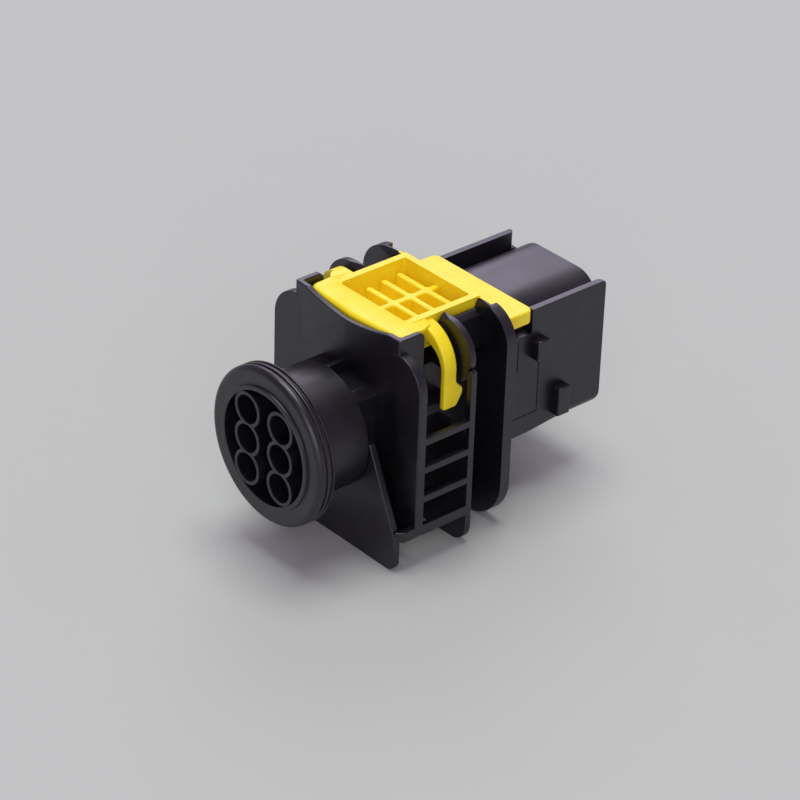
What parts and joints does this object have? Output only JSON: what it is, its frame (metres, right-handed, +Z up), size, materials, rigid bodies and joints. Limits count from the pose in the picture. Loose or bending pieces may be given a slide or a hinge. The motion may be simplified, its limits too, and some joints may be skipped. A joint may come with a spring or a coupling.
{
  "type": "sealed electrical connector",
  "caption": "Sealed wire connector half with a ridged round wire entry, braced side plates, a slide-down secondary lock and a rectangular shroud around tab contacts.",
  "frame": {"origin": "centre of the round wire entry's front face, on the axis of the barrel", "axes": "+Y along the barrel towards the mating shroud, +Z up to the side with the secondary lock, X across"},
  "size_m": [0.038, 0.0667, 0.0416],
  "materials": {
    "housing": "satin moulded",
    "lock": "satin moulded",
    "contact": "bright tin plating",
    "seal": "matt"
  },
  "bodies": {
    "housing": {"housing": "housing", "contact_1": "contact", "contact_2": "contact", "contact_3": "contact", "contact_4": "contact", "contact_5": "contact", "contact_6": "contact", "wire_seal_1": "seal", "wire_seal_2": "seal", "wire_seal_3": "seal", "wire_seal_4": "seal", "wire_seal_5": "seal", "wire_seal_6": "seal"},
    "secondary_lock": {"secondary_lock": "lock"}
  },
  "joints": [
    {"name": "lock_slide", "type": "slide", "parent": "housing", "child": "secondary_lock", "axis": [0, 0, -1], "range_m": [0, 0.0022]}
  ]
}
